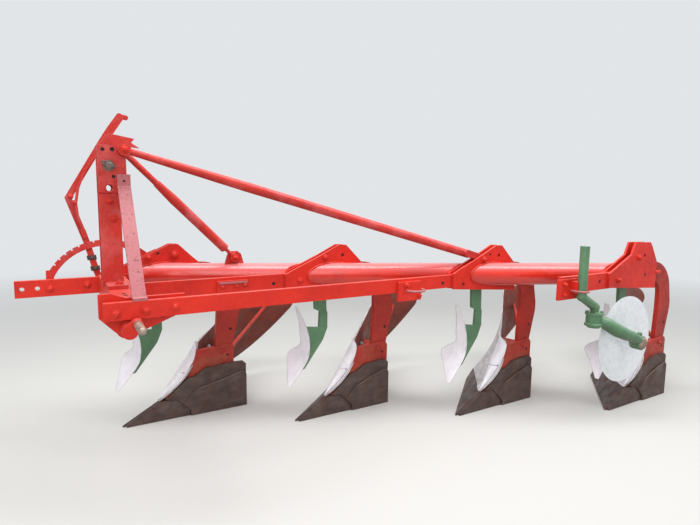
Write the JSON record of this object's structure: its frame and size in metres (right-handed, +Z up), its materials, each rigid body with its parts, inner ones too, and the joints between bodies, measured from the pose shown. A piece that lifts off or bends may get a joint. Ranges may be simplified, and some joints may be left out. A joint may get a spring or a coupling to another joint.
{
  "type": "mounted moldboard plough",
  "caption": "Mounted moldboard plough: diagonal tubular beam with curved legs and moldboards, skimmers, a disc coulter and a three-point headstock with a cranked cross shaft.",
  "frame": {"origin": "on the ground under the middle of the plough's box", "axes": "+X is the direction of travel, +Y the unploughed land side on the left, +Z up"},
  "size_m": [3.8708, 1.7046, 1.539],
  "materials": {
    "red_paint": "red farm paint, sun faded and chipped, with rust at the edges",
    "faded_paint": "red paint bleached to pink by the sun",
    "green_paint": "green paint, worn and dusty",
    "pale_steel": "blades and disc painted white, worn to bare steel at the edges",
    "board_steel": "moldboard with a painted back and a scoured face",
    "dark_steel": "soil-worn dark steel with brown rust",
    "bare_steel": "bare machined pin steel with light rust"
  },
  "bodies": {
    "frame": {"cross_beam": "red_paint", "mast": "red_paint", "mast_hook": "red_paint", "top_link_pin": "bare_steel", "side_brace": "faded_paint", "quadrant": "red_paint", "bracket_1": "red_paint", "bracket_2": "red_paint", "bracket_3": "red_paint", "bracket_4": "red_paint", "tube_1": "red_paint", "tube_2": "red_paint", "tube_3": "red_paint", "brace_upper": "red_paint", "brace_lower": "red_paint", "brace_lug": "red_paint", "coulter_clamp_2": "red_paint", "coulter_clamp_3": "red_paint", "coulter_clamp_4": "red_paint", "leg_1": "red_paint", "leg_2": "red_paint", "leg_3": "red_paint", "leg_4": "red_paint", "frog_1": "red_paint", "frog_2": "red_paint", "frog_3": "red_paint", "frog_4": "red_paint", "landside_1": "dark_steel", "landside_2": "dark_steel", "landside_3": "dark_steel", "landside_4": "dark_steel", "share_1": "dark_steel", "share_2": "dark_steel", "share_3": "dark_steel", "share_4": "dark_steel", "moldboard_1": "board_steel", "moldboard_2": "board_steel", "moldboard_3": "board_steel", "moldboard_4": "board_steel", "skimmer_stem_1": "green_paint", "skimmer_stem_2": "green_paint", "skimmer_stem_3": "green_paint", "skimmer_stem_4": "green_paint", "skimmer_blade_1": "pale_steel", "skimmer_blade_2": "pale_steel", "skimmer_blade_3": "pale_steel", "skimmer_blade_4": "pale_steel", "coulter_stem": "green_paint"},
    "link_axle": {"cross_shaft": "bare_steel", "lever": "red_paint", "latch_rod": "red_paint"},
    "coulter_arm": {"coulter_arm": "green_paint"},
    "coulter_disc": {"coulter_disc": "pale_steel"}
  },
  "joints": [
    {"name": "cross_shaft", "type": "hinge", "parent": "frame", "child": "link_axle", "pos_m": [1.56038, -0.05722, 0.663], "axis": [0, 1, 0], "range_deg": [-20, 35]},
    {"name": "coulter_swivel", "type": "hinge", "parent": "frame", "child": "coulter_arm", "pos_m": [-0.57662, 0.73428, 0.556], "axis": [0, 0, 1], "range_deg": [-10, 10]},
    {"name": "disc_spin", "type": "hinge", "parent": "coulter_arm", "child": "coulter_disc", "pos_m": [-0.85262, 0.74428, 0.416], "axis": [0, 1, 0], "continuous": true}
  ]
}
